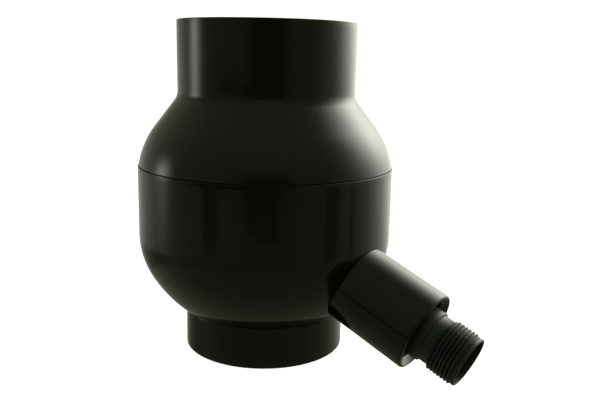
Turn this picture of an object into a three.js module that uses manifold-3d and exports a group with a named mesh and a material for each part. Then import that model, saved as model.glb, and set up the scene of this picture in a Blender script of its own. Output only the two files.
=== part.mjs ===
// Ball foot valve for a plastic suction pipe, built as it is assembled: a bulb of two moulded
// shells, an inlet spigot with a strainer, a seat with a caged ball above it, and a slanted side
// branch that ends in a threaded nipple.
// Millimetres, +Z up. The flow axis is vertical, and the branch leaves it towards +X.
// The origin is at the middle of the valve's footprint, in the plane that the inlet stands on.

import * as THREE from 'three';
import { mergeVertices } from 'three/addons/utils/BufferGeometryUtils.js';
import Module from 'manifold-3d';

const wasm = await Module();
wasm.setup();

// ---- driving dimensions ----

const GAP = 0.3; // between pieces that touch
const WALL = 4; // moulded shells and neck
const ROUND_SEGMENTS = 40;
const PIPE_SEGMENTS = 32;
const SMALL_SEGMENTS = 12;

const TOTAL_HEIGHT = 212;
const NECK_RADIUS = 57.15; // outside of a 4 inch pipe
const NECK_FILLET = 10;
const SHOULDER_CONE = THREE.MathUtils.degToRad(37.6); // from the vertical
const SHOULDER_RADIUS = 55;
const SEAM_TILT = THREE.MathUtils.degToRad(9);
const SEAM_Z = 121.3;
const SEAM_STEP = 0.5; // how far the lower rim stands proud of the upper shell
const TONGUE_LENGTH = 8;

const BELLY_RADIUS = 82.8;
const DOME_TOP_Z = 76.5;
const DOME_ARCS = [
  // each arc carries the dome's tilt on to its end, in degrees below the horizontal
  { radius: 50, end: 30, steps: 3 },
  { radius: 84, end: 50, steps: 2 },
  { radius: 10, end: 80, steps: 3 },
];

const SPIGOT_RADIUS = 52.7;
const SPIGOT_NECK_RADIUS = 50.3; // the part that goes through the dome
const SPIGOT_BORE = 46.2;
const SPIGOT_SOCKET = 47.8; // wider mouth below the strainer
const SPIGOT_HEIGHT = 31.5;
const SPIGOT_EDGE = 0.8; // chamfer below the dome

const STRAINER_Z = 12;
const STRAINER_THICKNESS = 3;
const STRAINER_HOLE_RADIUS = 4.2;
const STRAINER_RINGS = [
  { radius: 0, holes: 1 },
  { radius: 13.5, holes: 6 },
  { radius: 26, holes: 12 },
  { radius: 38.5, holes: 18 },
];
const SNAP_RING_THICKNESS = 2.7;
const SNAP_RING_WIDTH = 3.5;

const BALL_RADIUS = 50;
const SEAT_CONTACT = 40; // radius of the circle that the closed ball touches
const SEAT_SEAL_LIP = 4; // half length of the seal's slanted face
const SEAT_BORE = 37;
const SEAT_RING_RADIUS = 60;
const SEAT_FLOOR = 4;
const SEAT_SEAL_OUTER = 48;
const SEAT_RING_HEIGHT = 16;
const SEAT_FOOT_RADIUS = 51.1; // where the seat ring rests on the spigot
const SEAT_CONTACT_HEIGHT = 5.5; // above the seal's underside
const RETAINER_THICKNESS = 4;
const RETAINER_NOSE = 45.5; // inner radius of the lip that holds the seal down

const ROD_COUNT = 4;
const ROD_RADIUS = 2.5;
const ROD_CIRCLE = 54.5;
const ROD_DEPTH = 8; // how deep a rod is screwed into the seat ring
const BALL_LIFT = 22;
const CROWN_THICKNESS = 4;
const CROWN_WIDTH = 10;
const CROWN_SPOKE = 8;
const CROWN_HUB = 14;
const NUT_RADIUS = 4.6; // across the corners, halved
const NUT_HEIGHT = 4;
const ROD_TIP = 2; // how far a rod stands out of its nut

const BRANCH_TILT = THREE.MathUtils.degToRad(22.5); // below the horizontal
const BRANCH_Z = 83.7; // where the branch's axis meets the flow axis
const STUB_RADIUS = 20; // 40 mm pipe
const STUB_WALL = 3;
const STUB_ROOT = 50; // distances along the branch are counted from the flow axis
const STUB_END = 103.7;
const COUPLING_RADIUS = 25.3;
const COUPLING_START = 75; // before it is trimmed to the bulb
const COUPLING_END = 131;
const COUPLING_EDGE = 1.6;
const COUPLING_MOUTH = 23.4; // the socket flares to this radius at its mouth
const COUPLING_MOUTH_DEPTH = 4;
const COUPLING_STOP = 18.5;
const COUPLING_STOP_LENGTH = 2;
const BUSH_END = 124.6;
const BUSH_STOP = 14;
const BUSH_STOP_LENGTH = 2;
const SHANK_RADIUS = 16.2; // 32 mm pipe end of the nipple
const SHANK_END = 135.3;
const NIPPLE_BORE = 14;
const NIPPLE_WAIST = 14.9;
const NIPPLE_RIM = 15.7; // plain ring beyond the thread
const NIPPLE_CHAMFER = 0.6;
const NIPPLE_END = 161;
const THREAD_START = 142.4;
const THREAD_CREST = 16.62; // 1 inch pipe thread
const THREAD_ROOT = 15.15;
const THREAD_PITCH = 2.309;
const THREAD_TURNS = 7;

// ---- places worked out from them ----

const DOME_BOTTOM_Z = domeCurve(0).at(-1)[1];
const STUB_HOLE = STUB_RADIUS + GAP;
const SEAT_Z = SPIGOT_HEIGHT + GAP;
const SEAL_Z = SEAT_Z + SEAT_FLOOR + GAP;
const RETAINER_Z = SEAT_Z + SEAT_RING_HEIGHT + GAP;
const SEAT_DROP = Math.sqrt(BALL_RADIUS ** 2 - SEAT_CONTACT ** 2);
const SEAT_CONTACT_Z = SEAL_Z + SEAT_CONTACT_HEIGHT;
const BALL_Z = SEAT_CONTACT_Z + SEAT_DROP;
const CROWN_Z = BALL_Z + BALL_RADIUS + BALL_LIFT + GAP;
const NUT_Z = CROWN_Z + CROWN_THICKNESS + GAP;
const ROD_Z = SEAT_Z + SEAT_RING_HEIGHT - ROD_DEPTH;
const ROD_TOP = NUT_Z + NUT_HEIGHT + ROD_TIP;
const NIPPLE_FACE_RADIUS = NIPPLE_RIM - NIPPLE_CHAMFER;
const BRANCH_REACH = NIPPLE_END * Math.cos(BRANCH_TILT) + NIPPLE_FACE_RADIUS * Math.sin(BRANCH_TILT);
const FLOW_AXIS_X = (BELLY_RADIUS - BRANCH_REACH) / 2;

// ---- finishes ----

const FINISHES = {
  glossyBlack: { color: 0x14140f, roughness: 0.16, metalness: 0 },
  pipeGrey: { color: 0x181c18, roughness: 0.38, metalness: 0 },
  innerPlastic: { color: 0x2a2b29, roughness: 0.45, metalness: 0 },
  rubber: { color: 0x1b1a19, roughness: 0.75, metalness: 0 },
  steel: { color: 0xb9bcbf, roughness: 0.32, metalness: 1 },
};

// ---- shape helpers ----

// Points of an arc in a profile's (radius, height) plane; angles in radians from the +radius side.
function arc(centre, radius, from, to, steps) {
  const points = [];
  for (let i = 0; i <= steps; i++) {
    const angle = from + ((to - from) * i) / steps;
    points.push([centre[0] + radius * Math.cos(angle), centre[1] + radius * Math.sin(angle)]);
  }
  return points;
}

// A solid of revolution about Z. The profile runs anticlockwise and closes on itself.
function turned(profile, segments = ROUND_SEGMENTS) {
  const loop = [...profile, profile[0]].map(([r, z]) => new THREE.Vector2(r, z));
  return new THREE.LatheGeometry(loop, segments).rotateX(Math.PI / 2);
}

// A round bar along Z that stands on z = bottom.
function bar(radius, bottom, height, segments = SMALL_SEGMENTS) {
  const geometry = new THREE.CylinderGeometry(radius, radius, height, segments);
  return geometry.rotateX(Math.PI / 2).translate(0, 0, bottom + height / 2);
}

function toSolid(geometry) {
  const bare = geometry.clone();
  bare.deleteAttribute('normal');
  bare.deleteAttribute('uv');
  const merged = mergeVertices(bare);
  return new wasm.Manifold(
    new wasm.Mesh({
      numProp: 3,
      vertProperties: new Float32Array(merged.attributes.position.array),
      triVerts: new Uint32Array(merged.index.array),
    }),
  );
}

function toGeometry(solid) {
  const mesh = solid.getMesh();
  const geometry = new THREE.BufferGeometry();
  geometry.setAttribute('position', new THREE.BufferAttribute(mesh.vertProperties, 3));
  geometry.setIndex(new THREE.BufferAttribute(mesh.triVerts, 1));
  geometry.computeVertexNormals();
  return geometry;
}

function join(...geometries) {
  return toGeometry(geometries.map(toSolid).reduce((whole, next) => whole.add(next)));
}

function cut(geometry, ...tools) {
  return toGeometry(tools.map(toSolid).reduce((rest, tool) => rest.subtract(tool), toSolid(geometry)));
}

// Copies of a geometry, spread evenly on a circle about Z.
function aroundAxis(geometry, count, radius, startAngle = 0) {
  return Array.from({ length: count }, (_, i) =>
    geometry
      .clone()
      .translate(radius, 0, 0)
      .rotateZ(startAngle + (i * 2 * Math.PI) / count),
  );
}

function piece(name, geometry, finish) {
  const mesh = new THREE.Mesh(geometry, new THREE.MeshStandardMaterial(FINISHES[finish]));
  mesh.name = name;
  return mesh;
}

// Moves a shape from the branch's own frame, where Z runs out along the branch, to the valve's.
function alongBranch(geometry) {
  return geometry.rotateY(Math.PI / 2 + BRANCH_TILT).translate(0, 0, BRANCH_Z);
}

// ---- shells ----

// The upper shell's surface from the seam to the neck, at a depth below the outside.
function shoulderCurve(depth) {
  const seamRadius = BELLY_RADIUS - SEAM_STEP;
  const centre = [
    seamRadius - SHOULDER_RADIUS * Math.cos(SEAM_TILT),
    SEAM_Z - SHOULDER_RADIUS * Math.sin(SEAM_TILT),
  ];
  const coneStart = [
    centre[0] + SHOULDER_RADIUS * Math.cos(SHOULDER_CONE),
    centre[1] + SHOULDER_RADIUS * Math.sin(SHOULDER_CONE),
  ];
  const filletRadial = NECK_RADIUS + NECK_FILLET;
  const filletZ =
    coneStart[1] +
    (NECK_FILLET - (filletRadial - coneStart[0]) * Math.cos(SHOULDER_CONE)) / Math.sin(SHOULDER_CONE);
  return [
    ...arc(centre, SHOULDER_RADIUS - depth, SEAM_TILT, SHOULDER_CONE, 5),
    ...arc([filletRadial, filletZ], NECK_FILLET + depth, Math.PI + SHOULDER_CONE, Math.PI, 3),
  ];
}

// The lower shell's surface from the belly down to its foot, at a depth below the outside.
// Each arc's centre lies on the line through the last centre and the point where the arcs join.
function domeCurve(depth) {
  const curve = [];
  let centre = [BELLY_RADIUS, DOME_TOP_Z];
  let lastRadius = 0;
  let tilt = 0;
  for (const { radius, end, steps } of DOME_ARCS) {
    const shift = lastRadius - radius;
    const endTilt = THREE.MathUtils.degToRad(end);
    centre = [centre[0] + shift * Math.cos(tilt), centre[1] - shift * Math.sin(tilt)];
    const points = arc(centre, radius - depth, -tilt, -endTilt, steps);
    curve.push(...points.slice(curve.length > 0 ? 1 : 0));
    lastRadius = radius;
    tilt = endTilt;
  }
  return curve;
}

function upperShell() {
  const inside = BELLY_RADIUS - WALL;
  const tongueOuter = inside + WALL / 2 + 0.1;
  const tongueBottom = SEAM_Z + GAP - TONGUE_LENGTH;
  return turned([
    [inside, tongueBottom],
    [tongueOuter, tongueBottom],
    [tongueOuter, SEAM_Z + GAP],
    [BELLY_RADIUS - SEAM_STEP, SEAM_Z + GAP],
    ...shoulderCurve(0).slice(1),
    [NECK_RADIUS, TOTAL_HEIGHT],
    [NECK_RADIUS - WALL, TOTAL_HEIGHT],
    ...shoulderCurve(WALL).reverse(),
  ]);
}

function lowerShell() {
  const rebate = BELLY_RADIUS - WALL / 2 + 0.4;
  const ledge = SEAM_Z - TONGUE_LENGTH;
  const spigotHole = SPIGOT_NECK_RADIUS + GAP;
  const inside = domeCurve(WALL);
  const shell = turned([
    [spigotHole, DOME_BOTTOM_Z],
    ...domeCurve(0).reverse(),
    [BELLY_RADIUS, SEAM_Z],
    [rebate, SEAM_Z],
    [rebate, ledge],
    [BELLY_RADIUS - WALL, ledge],
    ...inside,
    [spigotHole, inside.at(-1)[1]],
  ]);
  return cut(shell, alongBranch(bar(STUB_HOLE, STUB_ROOT, STUB_END - STUB_ROOT, PIPE_SEGMENTS)));
}

// All that lies inside the lower half's surface at a depth below the outside. It trims the stub
// flush with the inner wall, and the coupling clear of the outside.
function lowerBulb(depth) {
  const curve = domeCurve(depth);
  return turned([
    [0, curve.at(-1)[1]],
    ...curve.reverse(),
    [BELLY_RADIUS - depth, SEAM_Z],
    [0, SEAM_Z],
  ]);
}

// ---- inlet ----

function inletSpigot() {
  const shoulder = DOME_BOTTOM_Z - GAP;
  const strainerLedge = STRAINER_Z + STRAINER_THICKNESS + GAP;
  return turned([
    [SPIGOT_SOCKET, 0],
    [SPIGOT_RADIUS, 0],
    [SPIGOT_RADIUS, shoulder - SPIGOT_EDGE],
    [SPIGOT_RADIUS - SPIGOT_EDGE, shoulder],
    [SPIGOT_NECK_RADIUS, shoulder],
    [SPIGOT_NECK_RADIUS, SPIGOT_HEIGHT],
    [SPIGOT_BORE, SPIGOT_HEIGHT],
    [SPIGOT_BORE, strainerLedge],
    [SPIGOT_SOCKET, strainerLedge],
  ]);
}

function strainer() {
  const plate = bar(SPIGOT_SOCKET - GAP, STRAINER_Z, STRAINER_THICKNESS, ROUND_SEGMENTS);
  const hole = bar(STRAINER_HOLE_RADIUS, STRAINER_Z - 1, STRAINER_THICKNESS + 2, 8);
  const holes = STRAINER_RINGS.flatMap((ring) => aroundAxis(hole, ring.holes, ring.radius));
  return cut(plate, ...holes);
}

function strainerRing() {
  const outer = SPIGOT_SOCKET - GAP;
  const top = STRAINER_Z - GAP;
  return turned([
    [outer - SNAP_RING_WIDTH, top - SNAP_RING_THICKNESS],
    [outer, top - SNAP_RING_THICKNESS],
    [outer, top],
    [outer - SNAP_RING_WIDTH, top],
  ]);
}

// ---- seat ----

function rodHoles(bottom, height) {
  return aroundAxis(bar(ROD_RADIUS + GAP, bottom, height), ROD_COUNT, ROD_CIRCLE, Math.PI / ROD_COUNT);
}

function seatRing() {
  const sealPocket = SEAT_SEAL_OUTER + GAP;
  const top = SEAT_Z + SEAT_RING_HEIGHT;
  const ring = turned([
    [SEAT_BORE, SEAT_Z],
    [SEAT_FOOT_RADIUS, SEAT_Z],
    [SEAT_RING_RADIUS, SEAT_Z + SEAT_RING_RADIUS - SEAT_FOOT_RADIUS],
    [SEAT_RING_RADIUS, top],
    [sealPocket, top],
    [sealPocket, SEAT_Z + SEAT_FLOOR],
    [SEAT_BORE, SEAT_Z + SEAT_FLOOR],
  ]);
  return cut(ring, ...rodHoles(ROD_Z - GAP, ROD_DEPTH + 1));
}

// The slanted face lies a gap away from the closed ball, square to the ball's radius there.
function seatSeal() {
  const outwards = [SEAT_CONTACT / BALL_RADIUS, -SEAT_DROP / BALL_RADIUS];
  const middle = [SEAT_CONTACT + GAP * outwards[0], SEAT_CONTACT_Z + GAP * outwards[1]];
  const slope = [-outwards[1] * SEAT_SEAL_LIP, outwards[0] * SEAT_SEAL_LIP];
  const low = [middle[0] - slope[0], middle[1] - slope[1]];
  const high = [middle[0] + slope[0], middle[1] + slope[1]];
  return turned([[low[0], SEAL_Z], [SEAT_SEAL_OUTER, SEAL_Z], [SEAT_SEAL_OUTER, high[1]], high, low]);
}

function seatRetainer() {
  const sealTop = SEAT_CONTACT_Z - (GAP * SEAT_DROP) / BALL_RADIUS;
  const noseZ = sealTop + (SEAT_SEAL_LIP * SEAT_CONTACT) / BALL_RADIUS + GAP;
  const top = RETAINER_Z + RETAINER_THICKNESS;
  const ring = turned([
    [RETAINER_NOSE, noseZ],
    [SEAT_SEAL_OUTER, noseZ],
    [SEAT_SEAL_OUTER, RETAINER_Z],
    [SEAT_RING_RADIUS, RETAINER_Z],
    [SEAT_RING_RADIUS, top],
    [SEAT_SEAL_OUTER, top],
  ]);
  return cut(ring, ...rodHoles(RETAINER_Z - 1, RETAINER_THICKNESS + 2));
}

// ---- ball and cage ----

function checkBall() {
  return new THREE.SphereGeometry(BALL_RADIUS, 32, 18).rotateX(Math.PI / 2).translate(0, 0, BALL_Z);
}

function cageCrown() {
  const rim = turned([
    [ROD_CIRCLE - CROWN_WIDTH / 2, CROWN_Z],
    [ROD_CIRCLE + CROWN_WIDTH / 2, CROWN_Z],
    [ROD_CIRCLE + CROWN_WIDTH / 2, CROWN_Z + CROWN_THICKNESS],
    [ROD_CIRCLE - CROWN_WIDTH / 2, CROWN_Z + CROWN_THICKNESS],
  ]);
  const spoke = new THREE.BoxGeometry(2 * ROD_CIRCLE, CROWN_SPOKE, CROWN_THICKNESS);
  spoke.translate(0, 0, CROWN_Z + CROWN_THICKNESS / 2);
  const spokes = [0, Math.PI / 2].map((turn) => spoke.clone().rotateZ(turn));
  const hub = bar(CROWN_HUB, CROWN_Z, CROWN_THICKNESS, PIPE_SEGMENTS);
  return cut(join(rim, ...spokes, hub), ...rodHoles(CROWN_Z - 1, CROWN_THICKNESS + 2));
}

function guideRods() {
  const rods = aroundAxis(
    bar(ROD_RADIUS, ROD_Z, ROD_TOP - ROD_Z),
    ROD_COUNT,
    ROD_CIRCLE,
    Math.PI / ROD_COUNT,
  );
  return rods.map((rod, i) => piece(`guide_rod_${i + 1}`, rod, 'steel'));
}

function cageNuts() {
  const blank = bar(NUT_RADIUS, NUT_Z, NUT_HEIGHT, 6);
  const nut = cut(blank, bar(ROD_RADIUS + GAP, NUT_Z - 1, NUT_HEIGHT + 2));
  const nuts = aroundAxis(nut, ROD_COUNT, ROD_CIRCLE, Math.PI / ROD_COUNT);
  return nuts.map((each, i) => piece(`cage_nut_${i + 1}`, each, 'steel'));
}

// ---- branch: every profile here runs along Z, from the flow axis outwards ----

function branchStub() {
  const tube = turned(
    [
      [STUB_RADIUS - STUB_WALL, STUB_ROOT],
      [STUB_RADIUS, STUB_ROOT],
      [STUB_RADIUS, STUB_END],
      [STUB_RADIUS - STUB_WALL, STUB_END],
    ],
    PIPE_SEGMENTS,
  );
  return cut(alongBranch(tube), lowerBulb(WALL));
}

function branchCoupling() {
  const socket = STUB_RADIUS + GAP;
  const stopStart = STUB_END + GAP;
  const stopEnd = stopStart + COUPLING_STOP_LENGTH;
  const edgeRadius = COUPLING_RADIUS - COUPLING_EDGE;
  const sleeve = turned(
    [
      [socket, COUPLING_START],
      [COUPLING_RADIUS, COUPLING_START],
      ...arc([edgeRadius, COUPLING_END - COUPLING_EDGE], COUPLING_EDGE, 0, Math.PI / 2, 3),
      [COUPLING_MOUTH, COUPLING_END],
      [socket, COUPLING_END - COUPLING_MOUTH_DEPTH],
      [socket, stopEnd],
      [COUPLING_STOP, stopEnd],
      [COUPLING_STOP, stopStart],
      [socket, stopStart],
    ],
    PIPE_SEGMENTS,
  );
  return cut(alongBranch(sleeve), lowerBulb(-GAP));
}

function reducingBush() {
  const start = STUB_END + COUPLING_STOP_LENGTH + 2 * GAP;
  const bore = SHANK_RADIUS + GAP;
  const bush = turned(
    [
      [BUSH_STOP, start],
      [STUB_RADIUS, start],
      [STUB_RADIUS, BUSH_END],
      [bore, BUSH_END],
      [bore, start + BUSH_STOP_LENGTH],
      [BUSH_STOP, start + BUSH_STOP_LENGTH],
    ],
    PIPE_SEGMENTS,
  );
  return alongBranch(bush);
}

function threadedNipple() {
  const start = STUB_END + COUPLING_STOP_LENGTH + BUSH_STOP_LENGTH + 3 * GAP;
  const threadEnd = THREAD_START + THREAD_TURNS * THREAD_PITCH;
  const thread = [];
  for (let turn = 0; turn < THREAD_TURNS; turn++) {
    const rootZ = THREAD_START + turn * THREAD_PITCH;
    thread.push([THREAD_ROOT, rootZ], [THREAD_CREST, rootZ + THREAD_PITCH / 2]);
  }
  const nipple = turned(
    [
      [NIPPLE_BORE, start],
      [SHANK_RADIUS, start],
      [SHANK_RADIUS, SHANK_END],
      [NIPPLE_WAIST, SHANK_END + 1],
      [NIPPLE_WAIST, THREAD_START - GAP],
      ...thread,
      [NIPPLE_RIM, threadEnd],
      [NIPPLE_RIM, NIPPLE_END - NIPPLE_CHAMFER],
      [NIPPLE_FACE_RADIUS, NIPPLE_END],
      [NIPPLE_BORE, NIPPLE_END],
    ],
    PIPE_SEGMENTS,
  );
  return alongBranch(nipple);
}

// ---- assembly ----

const valve = new THREE.Group();
valve.position.x = FLOW_AXIS_X;
valve.add(
  piece('upper_shell', upperShell(), 'glossyBlack'),
  piece('lower_shell', lowerShell(), 'glossyBlack'),
  piece('inlet_spigot', inletSpigot(), 'glossyBlack'),
  piece('strainer', strainer(), 'innerPlastic'),
  piece('strainer_ring', strainerRing(), 'steel'),
  piece('seat_ring', seatRing(), 'innerPlastic'),
  piece('seat_seal', seatSeal(), 'rubber'),
  piece('seat_retainer', seatRetainer(), 'innerPlastic'),
  piece('check_ball', checkBall(), 'rubber'),
  piece('cage_crown', cageCrown(), 'steel'),
  ...guideRods(),
  ...cageNuts(),
  piece('branch_stub', branchStub(), 'glossyBlack'),
  piece('branch_coupling', branchCoupling(), 'glossyBlack'),
  piece('reducing_bush', reducingBush(), 'pipeGrey'),
  piece('threaded_nipple', threadedNipple(), 'pipeGrey'),
);

export default valve;
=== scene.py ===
import math

import bmesh
import bpy
import numpy as np
from mathutils import Matrix, Vector


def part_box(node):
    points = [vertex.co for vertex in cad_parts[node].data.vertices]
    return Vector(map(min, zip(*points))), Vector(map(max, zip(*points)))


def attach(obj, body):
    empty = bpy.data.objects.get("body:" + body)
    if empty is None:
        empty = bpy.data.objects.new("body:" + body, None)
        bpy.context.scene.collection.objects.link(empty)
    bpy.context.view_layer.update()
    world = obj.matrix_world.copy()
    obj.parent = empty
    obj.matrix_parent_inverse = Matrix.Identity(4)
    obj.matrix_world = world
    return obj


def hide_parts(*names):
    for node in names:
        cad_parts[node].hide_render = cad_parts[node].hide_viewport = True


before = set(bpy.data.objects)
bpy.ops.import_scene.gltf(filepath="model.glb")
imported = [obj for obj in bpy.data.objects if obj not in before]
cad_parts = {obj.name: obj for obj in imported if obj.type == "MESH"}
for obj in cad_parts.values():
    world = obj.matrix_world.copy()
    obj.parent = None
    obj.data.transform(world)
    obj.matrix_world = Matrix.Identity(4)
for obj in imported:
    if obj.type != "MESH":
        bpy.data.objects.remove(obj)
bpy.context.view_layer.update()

# ---- sizes, in millimetres in each piece's own frame, with Z along its axis ----

MM = 0.001
ROUND = 192  # segments round a large turned piece
PIPE = 128  # round a pipe of the branch, and the ball
NIPPLE_ROUND = 160
SMALL = 48  # round a rod or a hole
CREASE = math.radians(40)  # edges sharper than this stay sharp in the shading
GAP = 0.3  # between pieces that touch
WALL = 4.0  # of the shells

SEAM_Z = 121.3
SEAM_STEP = 0.5  # how far the upper shell stands back at the seam
TONGUE = 8.0  # of the upper shell, down inside the lower one
TOP_Z = 212.0
NECK_R = 57.15
NECK_FOOT = 172.0  # where the neck has become straight
NECK_FILLET = 10.0
SHOULDER_R = 55.0
SHOULDER_CONE = math.radians(37.6)  # the surface's tilt from upright where it meets the fillet
SEAM_TILT = math.radians(9)  # and at the seam

BELLY_R = 82.8
DOME_TOP_Z = 76.5
DOME_ARCS = ((50.0, 30, 20), (84.0, 50, 12), (10.0, 80, 14))  # radius, tilt at its end, steps

SPIGOT_R = 52.7
SPIGOT_NECK_R = 50.3  # of the part inside the shell
SPIGOT_BORE = 46.2
SPIGOT_SOCKET = 47.8  # the wider bore that the strainer sits in
SPIGOT_TOP = 31.5
SPIGOT_EDGE = 0.8

STRAINER_Z = 12.0
STRAINER_T = 3.0
STRAINER_HOLE = 4.2  # radius
STRAINER_RINGS = ((0, 1), (13.5, 6), (26, 12), (38.5, 18))  # ring radius and holes on it
SNAP_RING_T = 2.7
SNAP_RING_W = 3.5

BALL_R = 50.0
SEAT_CONTACT = 40.0  # radius of the ring where the ball closes on the seal
SEAT_SEAL_LIP = 4.0  # half the width of the seal's slanted face
SEAT_BORE = 37.0
SEAT_R = 60.0
SEAT_FLOOR = 4.0  # thickness under the seal
SEAL_R = 48.0
SEAT_H = 16.0
SEAT_FOOT_R = 51.1
CONTACT_H = 5.5  # from the seal's foot up to the contact ring
RETAINER_T = 4.0
RETAINER_NOSE = 45.5  # inner radius of the part that presses on the seal
ROD_COUNT = 4
ROD_R = 2.5
ROD_CIRCLE = 54.5  # radius of the circle that the rods stand on
CROWN_W = 10.0
CROWN_SPOKE = 8.0
CROWN_HUB = 14.0
NUT_ACROSS = 8.0

BRANCH_Z = 83.7  # where the branch's axis starts on the flow axis
BRANCH_TILT = math.radians(22.5)  # down from level
# Starts and ends on the branch are distances along its axis.
STUB_R = 20.0
STUB_WALL = 3.0
STUB_ROOT = 50.0
STUB_END = 103.7
COUPLING_R = 25.3
COUPLING_START = 75.0  # before it is cut to the bulb
COUPLING_END = 131.0
COUPLING_EDGE = 1.6
COUPLING_MOUTH = 23.4  # the flare's radius at the end
COUPLING_MOUTH_DEPTH = 4.0
COUPLING_STOP = 18.5  # bore of the stop inside
STOP_LENGTH = 2.0
BUSH_END = 124.6
BUSH_STOP = 14.0  # bore of the stop inside
SHANK_R = 16.2
SHANK_END = 135.3
NIPPLE_BORE = 14.0
NIPPLE_WAIST = 14.9
NIPPLE_RIM = 15.7
NIPPLE_END = 161.0
THREAD_START = 142.4
THREAD_CREST = 16.62
THREAD_ROOT = 15.15
THREAD_PITCH = 2.309
THREAD_TURNS = 7
THREAD_SAMPLES = 14  # rings of vertices in each turn

SEAT_Z = SPIGOT_TOP + GAP
SEAL_Z = SEAT_Z + SEAT_FLOOR + GAP
RETAINER_Z = SEAT_Z + SEAT_H + GAP
SEAT_DROP = math.sqrt(BALL_R**2 - SEAT_CONTACT**2)
CONTACT_Z = SEAL_Z + CONTACT_H
BALL_Z = CONTACT_Z + SEAT_DROP
STUB_HOLE = STUB_R + GAP

# ---- where the two axes lie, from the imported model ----

shell_low, shell_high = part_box("upper_shell")
FLOW = Matrix.Translation(((shell_low.x + shell_high.x) / 2, (shell_low.y + shell_high.y) / 2, 0))
BRANCH_START = Matrix.Translation((0, 0, BRANCH_Z * MM))
BRANCH_TURN = Matrix.Rotation(math.pi / 2 + BRANCH_TILT, 4, "Y")
BRANCH = FLOW @ BRANCH_START @ BRANCH_TURN


# ---- shape tools ----


def arc(centre, radius, start, end, steps):
    """Points of an arc in a profile's (radius, height) plane, in millimetres and radians."""
    angles = np.linspace(start, end, steps + 1)
    return [(centre[0] + radius * math.cos(a), centre[1] + radius * math.sin(a)) for a in angles]


def wall(radius, start, end, count):
    """Evenly spaced points of a straight wall, which keep a long mesh even."""
    return [(radius, z) for z in np.linspace(start, end, count)]


CORNER_STEPS = 4


def rounded_corner(back, here, ahead, rounding):
    """Points of the small curve that takes the place of a sharp corner."""
    to_back = back - here
    to_ahead = ahead - here
    half_angle = to_back.angle(to_ahead) / 2
    longest = 0.45 * min(to_back.length, to_ahead.length)
    reach = min(rounding / math.tan(half_angle), longest)
    a = here + to_back.normalized() * reach
    b = here + to_ahead.normalized() * reach
    curve = []
    for step in range(CORNER_STEPS + 1):
        t = step / CORNER_STEPS
        curve.append(tuple((1 - t) ** 2 * a + 2 * t * (1 - t) * here + t**2 * b))
    return curve


def softened(profile):
    """A closed profile whose corners (r, z, rounding) are rounded. Points (r, z) stay as they are."""
    points = []
    count = len(profile)
    for i, corner in enumerate(profile):
        here = Vector(corner[:2])
        if len(corner) == 2:
            points.append(tuple(here))
            continue
        back = Vector(profile[i - 1][:2])
        ahead = Vector(profile[(i + 1) % count][:2])
        points += rounded_corner(back, here, ahead, corner[2])
    return points


def finish_mesh(name, vertices, faces, place, sharp_angle):
    """Makes the object: from millimetres to its place in metres, cleaned, and smooth but for edges."""
    mesh = bpy.data.meshes.new(name)
    mesh.from_pydata(vertices, [], faces)
    mesh.transform(place @ Matrix.Scale(MM, 4))
    shaped = bmesh.new()
    shaped.from_mesh(mesh)
    bmesh.ops.remove_doubles(shaped, verts=shaped.verts, dist=1e-7)
    bmesh.ops.recalc_face_normals(shaped, faces=shaped.faces)
    shaped.to_mesh(mesh)
    shaped.free()
    mesh.shade_smooth()
    mesh.set_sharp_from_angle(angle=sharp_angle)
    piece = bpy.data.objects.new(name, mesh)
    bpy.context.scene.collection.objects.link(piece)
    return piece


def turned(name, profile, place=FLOW, segments=ROUND, relief=None, sharp_angle=CREASE):
    """A solid of revolution about Z from a closed profile. relief(r, z, angle) adds to the radius."""
    loop = np.array(softened(profile))
    angles = np.arange(segments) * 2 * math.pi / segments
    radius = np.repeat(loop[:, 0][:, None], segments, 1)
    height = np.repeat(loop[:, 1][:, None], segments, 1)
    if relief is not None:
        radius = radius + relief(radius, height, angles[None, :])
    vertices = np.stack([radius * np.cos(angles), radius * np.sin(angles), height], -1).reshape(-1, 3)
    rings = len(loop)
    faces = []
    for i in range(rings):
        ring = i * segments
        next_ring = (i + 1) % rings * segments
        for j in range(segments):
            k = (j + 1) % segments
            faces.append((ring + j, ring + k, next_ring + k, next_ring + j))
    return finish_mesh(name, vertices.tolist(), faces, place, sharp_angle)


def plate(name, outline, holes, thickness, z, rounding=0.35):
    """A flat plate round the flow axis, from closed outlines, with softened edges, lying on height z."""
    flat = bpy.data.curves.new(name, "CURVE")
    flat.dimensions = "2D"
    flat.fill_mode = "BOTH"
    flat.extrude = thickness / 2 - rounding
    flat.bevel_depth = rounding
    flat.bevel_resolution = 3
    flat.offset = -rounding
    for points in [outline, *holes]:
        spline = flat.splines.new("POLY")
        spline.points.add(len(points) - 1)
        for control, (x, y) in zip(spline.points, points):
            control.co = (x, y, 0, 1)
        spline.use_cyclic_u = True
    drawn = bpy.data.objects.new(name + "_outline", flat)
    bpy.context.scene.collection.objects.link(drawn)
    graph = bpy.context.evaluated_depsgraph_get()
    mesh = bpy.data.meshes.new_from_object(drawn.evaluated_get(graph))
    vertices = [tuple(v.co + Vector((0, 0, z + thickness / 2))) for v in mesh.vertices]
    faces = [tuple(f.vertices) for f in mesh.polygons]
    bpy.data.objects.remove(drawn)
    return finish_mesh(name, vertices, faces, FLOW, CREASE)


def circle(radius, centre=(0, 0), count=SMALL, start=0.0):
    """Evenly spaced points on a circle, the first one at the angle start."""
    angles = [start + 2 * math.pi * i / count for i in range(count)]
    return [(centre[0] + radius * math.cos(a), centre[1] + radius * math.sin(a)) for a in angles]


ROD_SPOTS = circle(ROD_CIRCLE, count=ROD_COUNT, start=math.pi / ROD_COUNT)


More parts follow.
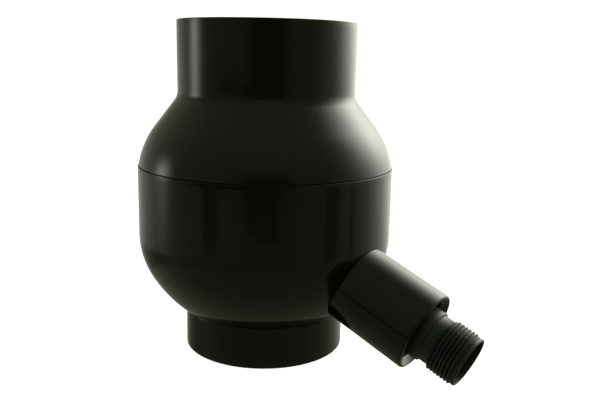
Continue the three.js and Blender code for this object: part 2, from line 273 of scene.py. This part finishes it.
def carve(piece, tool):
    """Cuts tool out of piece, and removes tool."""
    cut = piece.modifiers.new("carve", "BOOLEAN")
    cut.operation = "DIFFERENCE"
    cut.solver = "EXACT"
    cut.object = tool
    graph = bpy.context.evaluated_depsgraph_get()
    carved = bpy.data.meshes.new_from_object(piece.evaluated_get(graph))
    piece.modifiers.remove(cut)
    carved.set_sharp_from_angle(angle=CREASE)
    piece.data = carved
    bpy.data.objects.remove(tool)
    return piece


# ---- materials: everything is worked out from the place in the object's own frame ----

MIX_A = 6  # the colour sockets of a Mix node, by number because their names repeat
MIX_B = 7
MIX_COLOUR = 2
BLACK_PVC = ((0.0040, 0.0046, 0.0006), (0.0060, 0.0066, 0.0014))
DUST = (0.02, 0.02, 0.017)
GREY_PVC = ((0.0140, 0.0280, 0.0220), (0.0180, 0.0330, 0.0260))
RUBBED_CREST = (0.035, 0.040, 0.035)
SEAT_PLASTIC = ((0.060, 0.062, 0.060), (0.085, 0.088, 0.084))
RUBBER = ((0.012, 0.012, 0.0115), (0.030, 0.029, 0.028))
STEEL = ((0.48, 0.48, 0.47), (0.62, 0.62, 0.61))


class Graph:
    """Adds nodes to a node tree and joins them."""

    def __init__(self, tree):
        self.nodes = tree.nodes
        self.links = tree.links

    def add(self, kind, **settings):
        node = self.nodes.new(kind)
        for key, value in settings.items():
            setattr(node, key, value)
        return node

    def link(self, source, target):
        self.links.new(source, target)

    def feed(self, value, socket):
        """Gives a socket a plain number, or the output of another node."""
        if isinstance(value, (int, float)):
            socket.default_value = value
        else:
            self.link(value, socket)

    def maths(self, operation, *values):
        node = self.add("ShaderNodeMath", operation=operation)
        for socket, value in zip(node.inputs, values):
            self.feed(value, socket)
        return node.outputs[0]

    def ranged(self, value, low_in, high_in, low_out, high_out, shape="SMOOTHSTEP"):
        """The value moved from one range to another, and kept inside it."""
        node = self.add("ShaderNodeMapRange", interpolation_type=shape)
        self.link(value, node.inputs["Value"])
        node.inputs["From Min"].default_value = low_in
        node.inputs["From Max"].default_value = high_in
        node.inputs["To Min"].default_value = low_out
        node.inputs["To Max"].default_value = high_out
        return node.outputs["Result"]

    def blend(self, factor, dark, light):
        """A colour between two, each a tuple or another node's output."""
        node = self.add("ShaderNodeMix", data_type="RGBA")
        self.link(factor, node.inputs["Factor"])
        for socket, colour in ((node.inputs[MIX_A], dark), (node.inputs[MIX_B], light)):
            if isinstance(colour, tuple):
                socket.default_value = (*colour, 1)
            else:
                self.link(colour, socket)
        return node.outputs[MIX_COLOUR]


class Recipe(Graph):
    """Builds one node material step by step, in a frame whose Z runs along the piece."""

    def __init__(self, name, along):
        self.material = bpy.data.materials.new(name)
        self.material.use_nodes = True
        super().__init__(self.material.node_tree)
        self.shader = self.nodes["Principled BSDF"]
        turn = self.add("ShaderNodeMapping", vector_type="POINT")
        self.link(self.add("ShaderNodeTexCoord").outputs["Object"], turn.inputs["Vector"])
        back = along.inverted()
        turn.inputs["Location"].default_value = back.to_translation()
        turn.inputs["Rotation"].default_value = back.to_euler()
        self.place = turn.outputs["Vector"]

    def stretched(self, scale):
        """The place, scaled by a different amount along each axis."""
        node = self.add("ShaderNodeMapping", vector_type="POINT")
        self.link(self.place, node.inputs["Vector"])
        node.inputs["Scale"].default_value = scale
        return node.outputs["Vector"]

    def noise(self, scale, detail, stretch=None, distortion=0.0):
        """Clouds of a scale per metre."""
        node = self.add("ShaderNodeTexNoise")
        self.link(self.place if stretch is None else self.stretched(stretch), node.inputs["Vector"])
        node.inputs["Scale"].default_value = scale
        node.inputs["Detail"].default_value = detail
        node.inputs["Distortion"].default_value = distortion
        return node.outputs["Fac"]

    def bump(self, height, distance, previous=None):
        """Relief of a depth in metres, on top of an earlier one."""
        node = self.add("ShaderNodeBump")
        node.inputs["Strength"].default_value = 1.0
        node.inputs["Distance"].default_value = distance
        self.link(height, node.inputs["Height"])
        if previous is not None:
            self.link(previous, node.inputs["Normal"])
        return node.outputs["Normal"]

    def dressed(self, colour, roughness, normal, metallic=0.0):
        """Gives the shader its inputs, and returns the finished material."""
        self.link(colour, self.shader.inputs["Base Color"])
        self.link(roughness, self.shader.inputs["Roughness"])
        self.link(normal, self.shader.inputs["Normal"])
        self.shader.inputs["Metallic"].default_value = metallic
        self.shader.inputs["IOR"].default_value = 1.5
        return self.material


def gloss_black(name, along=FLOW, drawn=0.0):
    """Glossy black PVC. drawn is how strongly lines run along the piece, as on extruded pipe."""
    r = Recipe(name, along)
    cloud = r.noise(14, 4, distortion=0.6)
    colour = r.blend(r.ranged(cloud, 0.35, 0.7, 0, 1), *BLACK_PVC)
    dust = r.ranged(r.noise(900, 2), 0.74, 0.80, 0, 1)
    colour = r.blend(dust, colour, DUST)
    scuffs = r.ranged(r.noise(60, 6, stretch=(6, 6, 0.6), distortion=1.2), 0.62, 0.72, 0, 0.05)
    roughness = r.maths("ADD", r.ranged(r.noise(20, 3), 0.3, 0.7, 0.05, 0.09), scuffs)
    waves = r.bump(r.noise(26, 2), 0.00022)
    lines = r.bump(r.noise(3, 3, stretch=(420, 420, 5)), 0.000002 + 0.000022 * drawn, waves)
    peel = r.bump(r.noise(1100, 2), 0.0000045, lines)
    return r.dressed(colour, roughness, peel)


def satin_grey(name):
    """Dark-grey moulded PVC, less glossy, a little paler where the thread's crests are rubbed."""
    r = Recipe(name, BRANCH)
    cloud = r.noise(40, 4)
    colour = r.blend(cloud, *GREY_PVC)
    across = r.add("ShaderNodeVectorMath", operation="MULTIPLY")
    r.link(r.place, across.inputs[0])
    across.inputs[1].default_value = (1, 1, 0)
    radius = r.add("ShaderNodeVectorMath", operation="LENGTH")
    r.link(across.outputs[0], radius.inputs[0])
    crest = r.ranged(radius.outputs["Value"], (THREAD_CREST - 0.35) * MM, THREAD_CREST * MM, 0, 1)
    rubbed = r.maths("MULTIPLY", crest, r.ranged(r.noise(420, 3), 0.35, 0.65, 0.2, 0.9))
    colour = r.blend(rubbed, colour, RUBBED_CREST)
    roughness = r.ranged(r.noise(90, 4), 0.3, 0.7, 0.36, 0.48)
    grain = r.bump(r.noise(1500, 3), 0.000012)
    return r.dressed(colour, roughness, grain)


def inner_plastic(name):
    """Mid-grey moulded plastic of the seat and strainer."""
    r = Recipe(name, FLOW)
    colour = r.blend(r.noise(55, 4), *SEAT_PLASTIC)
    roughness = r.ranged(r.noise(130, 3), 0.3, 0.7, 0.38, 0.52)
    return r.dressed(colour, roughness, r.bump(r.noise(1300, 3), 0.000014))


def black_rubber(name):
    """Matt rubber with a fine grain and a trace of bloom."""
    r = Recipe(name, FLOW)
    bloom = r.ranged(r.noise(70, 5, distortion=0.8), 0.45, 0.75, 0, 1)
    colour = r.blend(bloom, *RUBBER)
    roughness = r.ranged(r.noise(200, 3), 0.3, 0.7, 0.55, 0.72)
    return r.dressed(colour, roughness, r.bump(r.noise(1800, 3), 0.00002))


def stainless(name):
    """Satin stainless steel with short brush lines."""
    r = Recipe(name, FLOW)
    lines = r.noise(5, 4, stretch=(400, 12, 60))
    colour = r.blend(lines, *STEEL)
    roughness = r.ranged(lines, 0.3, 0.7, 0.24, 0.40)
    return r.dressed(colour, roughness, r.bump(lines, 0.00001), metallic=1.0)


# ---- shells ----


def shoulder_curve(depth):
    """The upper shell's surface from seam to neck, at a depth below the outside."""
    seam_r = BELLY_R - SEAM_STEP
    centre = (seam_r - SHOULDER_R * math.cos(SEAM_TILT), SEAM_Z - SHOULDER_R * math.sin(SEAM_TILT))
    cone_r = centre[0] + SHOULDER_R * math.cos(SHOULDER_CONE)
    cone_z = centre[1] + SHOULDER_R * math.sin(SHOULDER_CONE)
    fillet_r = NECK_R + NECK_FILLET
    rise = NECK_FILLET - (fillet_r - cone_r) * math.cos(SHOULDER_CONE)
    fillet_z = cone_z + rise / math.sin(SHOULDER_CONE)
    dome = arc(centre, SHOULDER_R - depth, SEAM_TILT, SHOULDER_CONE, 24)
    fillet = arc((fillet_r, fillet_z), NECK_FILLET + depth, math.pi + SHOULDER_CONE, math.pi, 14)
    return dome + fillet


def dome_curve(depth):
    """The lower shell's surface from the belly down to its foot, at a depth below the outside."""
    curve = []
    centre = (BELLY_R, DOME_TOP_Z)
    last_radius = 0.0
    tilt = 0.0
    for radius, end, steps in DOME_ARCS:
        shift = last_radius - radius
        centre = (centre[0] + shift * math.cos(tilt), centre[1] - shift * math.sin(tilt))
        points = arc(centre, radius - depth, -tilt, -math.radians(end), steps)
        curve += points[1:] if curve else points
        last_radius = radius
        tilt = math.radians(end)
    return curve


DOME_FOOT_Z = dome_curve(0)[-1][1]


def upper_shell():
    """The bulb's top half with the neck, and a tongue that goes down inside the lower half."""
    inside = BELLY_R - WALL
    tongue_r = inside + WALL / 2 + 0.1
    tongue_z = SEAM_Z + GAP - TONGUE
    outside = shoulder_curve(0)
    seam = outside[0]
    return turned("upper_shell_moulding", [
        (inside, tongue_z, 0.4),
        (tongue_r, tongue_z, 0.4),
        (tongue_r, SEAM_Z + GAP),
        (seam[0], SEAM_Z + GAP, 0.35),
        *outside[1:],
        *wall(NECK_R, NECK_FOOT, TOP_Z - 4, 10),
        (NECK_R, TOP_Z, 0.55),
        (NECK_R - WALL, TOP_Z, 0.7),
        *shoulder_curve(WALL)[::-1],
    ])


def branch_drill(radius, start, end):
    """A tool for carving a round hole along the branch."""
    profile = [(0.0, start), (radius, start), (radius, end), (0.0, end)]
    return turned("drill", profile, BRANCH, PIPE)


def lower_shell():
    """The belly and the lower dome, with a rebate for the tongue and a hole for the branch."""
    rebate = BELLY_R - WALL / 2 + 0.4
    ledge = SEAM_Z - TONGUE
    hole = SPIGOT_NECK_R + GAP
    inside = dome_curve(WALL)
    outside = dome_curve(0)[::-1]
    foot_r, foot_z = outside[0]
    shell = turned("lower_shell_moulding", [
        (hole, foot_z, 0.3),
        (foot_r, foot_z, 0.25),
        *outside[1:],
        *wall(BELLY_R, DOME_TOP_Z + 4, SEAM_Z - 3, 9),
        (BELLY_R, SEAM_Z, 0.3),
        (rebate, SEAM_Z, 0.2),
        (rebate, ledge),
        (BELLY_R - WALL, ledge, 0.3),
        *inside,
        (hole, inside[-1][1], 0.3),
    ])
    return carve(shell, branch_drill(STUB_HOLE, STUB_ROOT, STUB_END))


def lower_bulb(depth):
    """A tool for carving away all that lies deeper in the lower half than a depth."""
    curve = dome_curve(depth)[::-1]
    return turned("bulb", [(0.0, curve[0][1]), *curve, (BELLY_R - depth, SEAM_Z), (0.0, SEAM_Z)])


# ---- inlet and strainer ----


def inlet_spigot():
    """The pipe underneath, with a ledge inside for the strainer."""
    shoulder = DOME_FOOT_Z - GAP
    ledge = STRAINER_Z + STRAINER_T + GAP
    return turned("inlet_spigot_pipe", [
        (SPIGOT_SOCKET, 0.0, 0.6),
        (SPIGOT_R, 0.0, 0.7),
        *wall(SPIGOT_R, 6, 22, 3),
        (SPIGOT_R, shoulder, SPIGOT_EDGE),
        (SPIGOT_NECK_R, shoulder),
        (SPIGOT_NECK_R, SPIGOT_TOP, 0.4),
        (SPIGOT_BORE, SPIGOT_TOP, 0.4),
        (SPIGOT_BORE, ledge, 0.3),
        (SPIGOT_SOCKET, ledge),
    ])


def strainer():
    """The round plate with its holes in rings."""
    holes = []
    for radius, count in STRAINER_RINGS:
        for spot in circle(radius, count=count):
            holes.append(circle(STRAINER_HOLE, spot, 32))
    edge = circle(SPIGOT_SOCKET - GAP, count=ROUND)
    return plate("strainer_plate", edge, holes, STRAINER_T, STRAINER_Z)


def strainer_ring():
    """The snap ring under the strainer."""
    outer = SPIGOT_SOCKET - GAP
    top = STRAINER_Z - GAP
    return turned("strainer_snap_ring", [
        (outer - SNAP_RING_W, top - SNAP_RING_T, 0.6),
        (outer, top - SNAP_RING_T, 0.6),
        (outer, top, 0.6),
        (outer - SNAP_RING_W, top, 0.6),
    ])


# ---- seat ----


def seat_ring():
    """The ring on the spigot, with a pocket for the seal."""
    pocket = SEAL_R + GAP
    top = SEAT_Z + SEAT_H
    return turned("seat_ring_moulding", [
        (SEAT_BORE, SEAT_Z, 0.5),
        (SEAT_FOOT_R, SEAT_Z, 0.4),
        (SEAT_R, SEAT_Z + SEAT_R - SEAT_FOOT_R, 0.5),
        (SEAT_R, top, 0.5),
        (pocket, top, 0.3),
        (pocket, SEAT_Z + SEAT_FLOOR),
        (SEAT_BORE, SEAT_Z + SEAT_FLOOR, 0.5),
    ])


def seat_seal():
    """The rubber ring, whose slanted face lies along the ball where it closes."""
    across = (SEAT_CONTACT / BALL_R, -SEAT_DROP / BALL_R)
    middle = (SEAT_CONTACT + GAP * across[0], CONTACT_Z + GAP * across[1])
    slope = (-across[1] * SEAT_SEAL_LIP, across[0] * SEAT_SEAL_LIP)
    low_r, low_z = middle[0] - slope[0], middle[1] - slope[1]
    high_r, high_z = middle[0] + slope[0], middle[1] + slope[1]
    return turned("seat_seal_ring", [
        (low_r, SEAL_Z, 0.4),
        (SEAL_R, SEAL_Z, 0.4),
        (SEAL_R, high_z, 0.4),
        (high_r, high_z, 0.5),
        (low_r, low_z, 0.5),
    ])


def seat_retainer():
    """The ring that holds the seal down and carries the rods."""
    nose_z = CONTACT_Z - GAP * SEAT_DROP / BALL_R + SEAT_SEAL_LIP * SEAT_CONTACT / BALL_R + GAP
    top = RETAINER_Z + RETAINER_T
    ring = turned("seat_retainer_ring", [
        (RETAINER_NOSE, nose_z, 0.3),
        (SEAL_R, nose_z, 0.3),
        (SEAL_R, RETAINER_Z),
        (SEAT_R, RETAINER_Z, 0.4),
        (SEAT_R, top, 0.6),
        (SEAL_R, top, 0.6),
    ])
    for x, y in ROD_SPOTS:
        place = FLOW @ Matrix.Translation((x * MM, y * MM, 0))
        profile = [(0.0, 0.0), (ROD_R + GAP, 0.0), (ROD_R + GAP, top + 1), (0.0, top + 1)]
        carve(ring, turned("drill", profile, place, SMALL))
    return ring


# ---- ball and cage ----


def check_ball():
    """The ball with the faint flash line that its mould leaves round the middle."""
    line_height = 0.12
    line_width = math.radians(0.5)

    def flash(radius, height, angle):
        tilt = np.arctan2(height - BALL_Z, radius)
        return line_height * np.exp(-((tilt / line_width) ** 2))

    radius = BALL_R - line_height
    degrees = (*range(-90, -3, 3), *np.arange(-3, 3.01, 0.25), *range(6, 91, 3))
    tilts = [math.radians(a) for a in degrees]
    profile = [(radius * math.cos(a), BALL_Z + radius * math.sin(a)) for a in tilts]
    profile[0] = (0.0, profile[0][1])
    profile[-1] = (0.0, profile[-1][1])
    return turned("rubber_ball", profile, FLOW, PIPE, flash)


def cage_crown():
    """The ring with crossed spokes and a hub, over the ball."""
    crown_low, crown_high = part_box("cage_crown")
    z = crown_low.z / MM
    thickness = (crown_high.z - crown_low.z) / MM
    outer = ROD_CIRCLE + CROWN_W / 2
    inner = ROD_CIRCLE - CROWN_W / 2
    half_spoke = CROWN_SPOKE / 2
    near = math.asin(half_spoke / CROWN_HUB)
    far = math.asin(half_spoke / inner)
    quarter = math.pi / 2
    windows = []
    for i in range(4):
        turn = i * quarter
        hub_side = arc((0, 0), CROWN_HUB, turn + quarter - near, turn + near, 12)
        rim_side = arc((0, 0), inner, turn + far, turn + quarter - far, 32)
        windows.append(hub_side + rim_side)
    holes = [circle(ROD_R + GAP, spot, 24) for spot in ROD_SPOTS]
    edge = circle(outer, count=ROUND)
    return plate("cage_crown_plate", edge, windows + holes, thickness, z, 0.5)


def guide_rod(number, spot):
    """A rod with a thread cut into its top end."""
    rod_low, rod_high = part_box(f"guide_rod_{number}")
    bottom, top = rod_low.z / MM, rod_high.z / MM
    thread_pitch = 0.8
    thread_depth = 0.28
    thread_from = top - 9

    def thread(radius, height, angle):
        wave = 0.5 + 0.5 * np.cos(2 * math.pi * (height / thread_pitch - angle / (2 * math.pi)))
        on_side = np.isclose(radius, ROD_R) & (height > thread_from) & (height < top - 0.7)
        return np.where(on_side, -thread_depth * wave, 0.0)

    side = [(ROD_R, z) for z in np.arange(thread_from - 0.4, top - 0.6, 0.1)]
    foot = [(0.0, bottom), (ROD_R, bottom, 0.4)]
    tip = [(ROD_R, top - 0.5), (ROD_R - 0.5, top), (0.0, top)]
    place = FLOW @ Matrix.Translation((spot[0] * MM, spot[1] * MM, 0))
    return turned(f"cage_rod_{number}", foot + side + tip, place, SMALL, thread)


def cage_nut(number, spot):
    """A six-sided nut over the crown."""
    nut_low, nut_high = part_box(f"cage_nut_{number}")
    z = nut_low.z / MM
    thickness = (nut_high.z - nut_low.z) / MM
    corner = NUT_ACROSS / math.sqrt(3) - 0.05
    outline = circle(corner, spot, 6)
    hole = circle(ROD_R + GAP, spot, 32)
    return plate(f"cage_hex_nut_{number}", outline, [hole], thickness, z, 0.4)


# ---- branch ----


def branch_stub():
    """The short pipe out of the lower dome, cut off level with the dome's inside."""
    tube = turned("branch_stub_pipe", [
        (STUB_R - STUB_WALL, STUB_ROOT),
        (STUB_R, STUB_ROOT),
        *wall(STUB_R, STUB_ROOT + 10, STUB_END - 3.7, 9),
        (STUB_R, STUB_END, 0.4),
        (STUB_R - STUB_WALL, STUB_END, 0.4),
    ], BRANCH, PIPE)
    return carve(tube, lower_bulb(WALL))


def branch_coupling():
    """The sleeve over the stub, with a stop inside, a flared mouth, and its root cut to the bulb."""
    socket = STUB_R + GAP
    stop_start = STUB_END + GAP
    stop_end = stop_start + STOP_LENGTH
    edge = (COUPLING_R - COUPLING_EDGE, COUPLING_END - COUPLING_EDGE)
    sleeve = turned("branch_coupling_sleeve", [
        (socket, COUPLING_START, 0.5),
        (COUPLING_R, COUPLING_START, 0.8),
        *wall(COUPLING_R, COUPLING_START + 3, COUPLING_END - 5, 17),
        *arc(edge, COUPLING_EDGE, 0, math.pi / 2, 10),
        (COUPLING_MOUTH, COUPLING_END, 0.2),
        (socket, COUPLING_END - COUPLING_MOUTH_DEPTH, 1.0),
        (socket, stop_end),
        (COUPLING_STOP, stop_end, 0.3),
        (COUPLING_STOP, stop_start, 0.3),
        (socket, stop_start),
    ], BRANCH, PIPE)
    return carve(sleeve, lower_bulb(-GAP))


def reducing_bush():
    """The bush between the coupling and the nipple's shank."""
    start = STUB_END + STOP_LENGTH + 2 * GAP
    bore = SHANK_R + GAP
    return turned("reducing_bush_moulding", [
        (BUSH_STOP, start, 0.4),
        (STUB_R, start, 0.4),
        (STUB_R, BUSH_END, 0.6),
        (bore, BUSH_END, 0.6),
        (bore, start + STOP_LENGTH),
        (BUSH_STOP, start + STOP_LENGTH, 0.4),
    ], BRANCH, PIPE)


def threaded_nipple():
    """The nipple with a true helical thread that fades in at its start and out at its end."""
    start = STUB_END + 2 * STOP_LENGTH + 3 * GAP
    thread_end = THREAD_START + THREAD_TURNS * THREAD_PITCH

    def helix(radius, height, angle):
        phase = (height - THREAD_START) / THREAD_PITCH - angle / (2 * math.pi)
        ridge = (0.5 - 0.5 * np.cos(2 * math.pi * phase)) ** 0.85
        fade_in = np.clip((height - THREAD_START) / (0.3 * THREAD_PITCH), 0, 1)
        fade_out = np.clip((thread_end - height) / (0.45 * THREAD_PITCH), 0, 1)
        proud = (THREAD_CREST - THREAD_ROOT) * ridge * fade_in * fade_out
        return np.where(np.isclose(radius, THREAD_ROOT), proud, 0.0)

    step = THREAD_PITCH / THREAD_SAMPLES
    threaded = [(THREAD_ROOT, z) for z in np.arange(THREAD_START, thread_end + step / 2, step)]
    return turned("threaded_nipple_moulding", [
        (NIPPLE_BORE, start, 0.4),
        (SHANK_R, start, 0.6),
        (SHANK_R, SHANK_END - 3),
        (SHANK_R, SHANK_END, 0.35),
        (NIPPLE_WAIST, SHANK_END + 0.9, 0.5),
        (NIPPLE_WAIST, THREAD_START - GAP),
        *threaded,
        (NIPPLE_RIM, thread_end + 0.4, 0.3),
        (NIPPLE_RIM, NIPPLE_END, 0.7),
        (NIPPLE_BORE, NIPPLE_END, 0.4),
    ], BRANCH, NIPPLE_ROUND, helix, math.radians(60))


# ---- assembly: each piece stands for its CAD node ----

MATERIALS = {
    "shell": gloss_black("black_pvc_moulded"),
    "pipe": gloss_black("black_pvc_pipe", FLOW, 0.3),
    "sleeve": gloss_black("black_pvc_sleeve", BRANCH, 1.0),
    "grey": satin_grey("dark_grey_pvc"),
    "inner": inner_plastic("seat_plastic"),
    "rubber": black_rubber("valve_rubber"),
    "steel": stainless("stainless_steel"),
}


def fit(piece, node, finish, body="valve"):
    """Dresses a piece and lets it stand for a CAD node on that node's body."""
    piece.data.materials.clear()
    piece.data.materials.append(MATERIALS[finish])
    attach(piece, body)
    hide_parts(node)


fit(upper_shell(), "upper_shell", "shell")
fit(lower_shell(), "lower_shell", "shell")
fit(inlet_spigot(), "inlet_spigot", "pipe")
fit(strainer(), "strainer", "inner")
fit(strainer_ring(), "strainer_ring", "steel")
fit(seat_ring(), "seat_ring", "inner")
fit(seat_seal(), "seat_seal", "rubber")
fit(seat_retainer(), "seat_retainer", "inner")
fit(check_ball(), "check_ball", "rubber", "ball")
fit(cage_crown(), "cage_crown", "steel")
for number, spot in enumerate(ROD_SPOTS, 1):
    fit(guide_rod(number, spot), f"guide_rod_{number}", "steel")
    fit(cage_nut(number, spot), f"cage_nut_{number}", "steel")
fit(branch_stub(), "branch_stub", "sleeve")
fit(branch_coupling(), "branch_coupling", "sleeve")
fit(reducing_bush(), "reducing_bush", "grey")
fit(threaded_nipple(), "threaded_nipple", "grey")

# ---- camera ----

VIEW_AZIMUTH = math.radians(35.6)  # how far the camera stands round from the -Y side
CAMERA_SIDE = 0.02288  # metres from the flow axis, across, back and up
CAMERA_BACK = 0.4668
CAMERA_HEIGHT = 0.1931
CAMERA_PITCH = math.radians(11.63)
CAMERA_ROLL = math.radians(1.21)
CAMERA_LENS = 42.9  # millimetres
SENSOR_WIDTH = 36

STUDIO = FLOW @ Matrix.Rotation(VIEW_AZIMUTH, 4, "Z")  # X to the picture's right, Y away from the camera


def make_camera():
    """The camera, on its stand beside the valve and aimed."""
    data = bpy.data.cameras.new("camera")
    data.lens = CAMERA_LENS
    data.sensor_width = SENSOR_WIDTH
    data.clip_start = 0.01
    camera = bpy.data.objects.new("camera", data)
    stand = Matrix.Translation((CAMERA_SIDE, -CAMERA_BACK, CAMERA_HEIGHT))
    aim = Matrix.Rotation(math.pi / 2 - CAMERA_PITCH, 4, "X") @ Matrix.Rotation(CAMERA_ROLL, 4, "Z")
    camera.matrix_world = STUDIO @ stand @ aim
    bpy.context.scene.collection.objects.link(camera)
    bpy.context.scene.camera = camera


# ---- studio ----

FLOOR_HALF = 6.0  # metres


def make_floor():
    """A plain pale floor that the gloss doesn't mirror."""
    mesh = bpy.data.meshes.new("floor")
    corners = [(x * FLOOR_HALF, y * FLOOR_HALF, 0) for x, y in ((-1, -1), (1, -1), (1, 1), (-1, 1))]
    mesh.from_pydata(corners, [], [(0, 1, 2, 3)])
    floor = bpy.data.objects.new("floor", mesh)
    floor.location.z = -0.0002
    material = bpy.data.materials.new("pale_floor")
    material.use_nodes = True
    shader = material.node_tree.nodes["Principled BSDF"]
    shader.inputs["Base Color"].default_value = (0.85, 0.85, 0.85, 1)
    shader.inputs["Roughness"].default_value = 0.9
    shader.inputs["Emission Color"].default_value = (1, 1, 1, 1)
    shader.inputs["Emission Strength"].default_value = 1.0
    mesh.materials.append(material)
    floor.visible_glossy = False
    floor.visible_diffuse = False
    bpy.context.scene.collection.objects.link(floor)


# Soft glows that the gloss reflects: azimuth and elevation of the middle, width and height, all in
# degrees, how flat-topped the glow is (2 is a bell, 4 nearly a pane), and its brightness. Azimuth 0
# is on the camera's side and 90 to its right.
GLOWS = (
    (133, 26, 30, 26, 2, 5.2),  # large window, high behind on the right
    (165, -8, 30, 14, 2, 0.8),  # pale ground behind on the right
    (-150, -8, 40, 16, 2, 0.26),  # pale ground behind on the left
    (-115, 5, 40, 40, 2, 0.12),  # left wall
    (-98.5, 2, 9, 10, 2, 2.1),  # narrow strip on the left
    (80, 0, 14, 16, 2, 0.08),  # right wall
    (0, 75, 400, 55, 4, 0.055),  # ceiling
)
# Dark things that the gloss reflects, in the same way. The last number is how much light they take.
SHADES = (
    (4, 4, 25, 17, 4, 0.65),  # the camera and its stand
    (-35, -6, 32, 4, 4, 0.6),  # furniture low in front, from left to right
    (0, -12.5, 15, 2.6, 6, 0.45),
    (-46, -12.5, 7, 3.2, 6, 0.5),
    (63, -13, 7, 5, 4, 0.5),
    (84, -13, 3, 5, 4, 0.4),
    (-40, -23, 85, 6, 4, 0.14),  # the ground in front
    (-120, -22, 28, 6, 4, 0.55),  # the ground on the left
)
ROOM_BRIGHTNESS = 0.15
WINDOW_BRIGHTNESS = 0.5  # from here up the light has the window's colour
WHITE_STRENGTH = 1.1  # of what the camera sees straight
ROOM_COLOUR = (0.98, 1.0, 0.68)
WINDOW_COLOUR = (1.0, 0.99, 0.88)


class Sky(Graph):
    """Builds the studio's light by direction, as nodes of the world."""

    def __init__(self, tree):
        super().__init__(tree)
        turn = self.add("ShaderNodeMapping")
        turn.inputs["Rotation"].default_value = (0, 0, -VIEW_AZIMUTH)
        self.link(self.add("ShaderNodeTexCoord").outputs["Generated"], turn.inputs["Vector"])
        split = self.add("ShaderNodeSeparateXYZ")
        self.link(turn.outputs["Vector"], split.inputs[0])
        right, away, up = split.outputs
        self.azimuth = self.maths("ARCTAN2", right, self.maths("MULTIPLY", away, -1.0))
        self.elevation = self.maths("ARCSINE", up)

    def glow(self, azimuth, elevation, width, height, power):
        """1 in the middle, fading to 0 around it."""
        turned_by = self.maths("SUBTRACT", self.azimuth, math.radians(azimuth))
        aside = self.maths("PINGPONG", turned_by, math.pi)
        raised_by = self.maths("SUBTRACT", self.elevation, math.radians(elevation))
        above = self.maths("ABSOLUTE", raised_by)
        across = self.maths("POWER", self.maths("DIVIDE", aside, math.radians(width)), power)
        along = self.maths("POWER", self.maths("DIVIDE", above, math.radians(height)), power)
        total = self.maths("ADD", across, along)
        return self.maths("EXPONENT", self.maths("MULTIPLY", total, -1.0))

    def brightness(self):
        """The room with its glows added and its shades taken away."""
        total = ROOM_BRIGHTNESS
        for azimuth, elevation, width, height, power, strength in GLOWS:
            glow = self.glow(azimuth, elevation, width, height, power)
            total = self.maths("ADD", total, self.maths("MULTIPLY", glow, strength))
        for azimuth, elevation, width, height, power, depth in SHADES:
            shade = self.glow(azimuth, elevation, width, height, power)
            kept = self.maths("SUBTRACT", 1.0, self.maths("MULTIPLY", shade, depth))
            total = self.maths("MULTIPLY", total, kept)
        return total


def make_surroundings():
    """White where the camera looks straight at it, and a dim studio in reflections and as light."""
    world = bpy.data.worlds.new("studio")
    bpy.context.scene.world = world
    world.use_nodes = True
    world.node_tree.nodes.clear()
    sky = Sky(world.node_tree)
    brightness = sky.brightness()
    lightness = sky.ranged(brightness, ROOM_BRIGHTNESS, WINDOW_BRIGHTNESS, 0, 1, "LINEAR")
    studio = sky.add("ShaderNodeBackground")
    sky.link(sky.blend(lightness, ROOM_COLOUR, WINDOW_COLOUR), studio.inputs["Color"])
    sky.link(brightness, studio.inputs["Strength"])
    white = sky.add("ShaderNodeBackground")
    white.inputs["Color"].default_value = (1, 1, 1, 1)
    white.inputs["Strength"].default_value = WHITE_STRENGTH
    choose = sky.add("ShaderNodeMixShader")
    sky.link(sky.add("ShaderNodeLightPath").outputs["Is Camera Ray"], choose.inputs[0])
    sky.link(studio.outputs[0], choose.inputs[1])
    sky.link(white.outputs[0], choose.inputs[2])
    sky.link(choose.outputs[0], sky.add("ShaderNodeOutputWorld").inputs[0])


make_camera()
make_floor()
make_surroundings()

bpy.context.scene.view_settings.view_transform = "Standard"
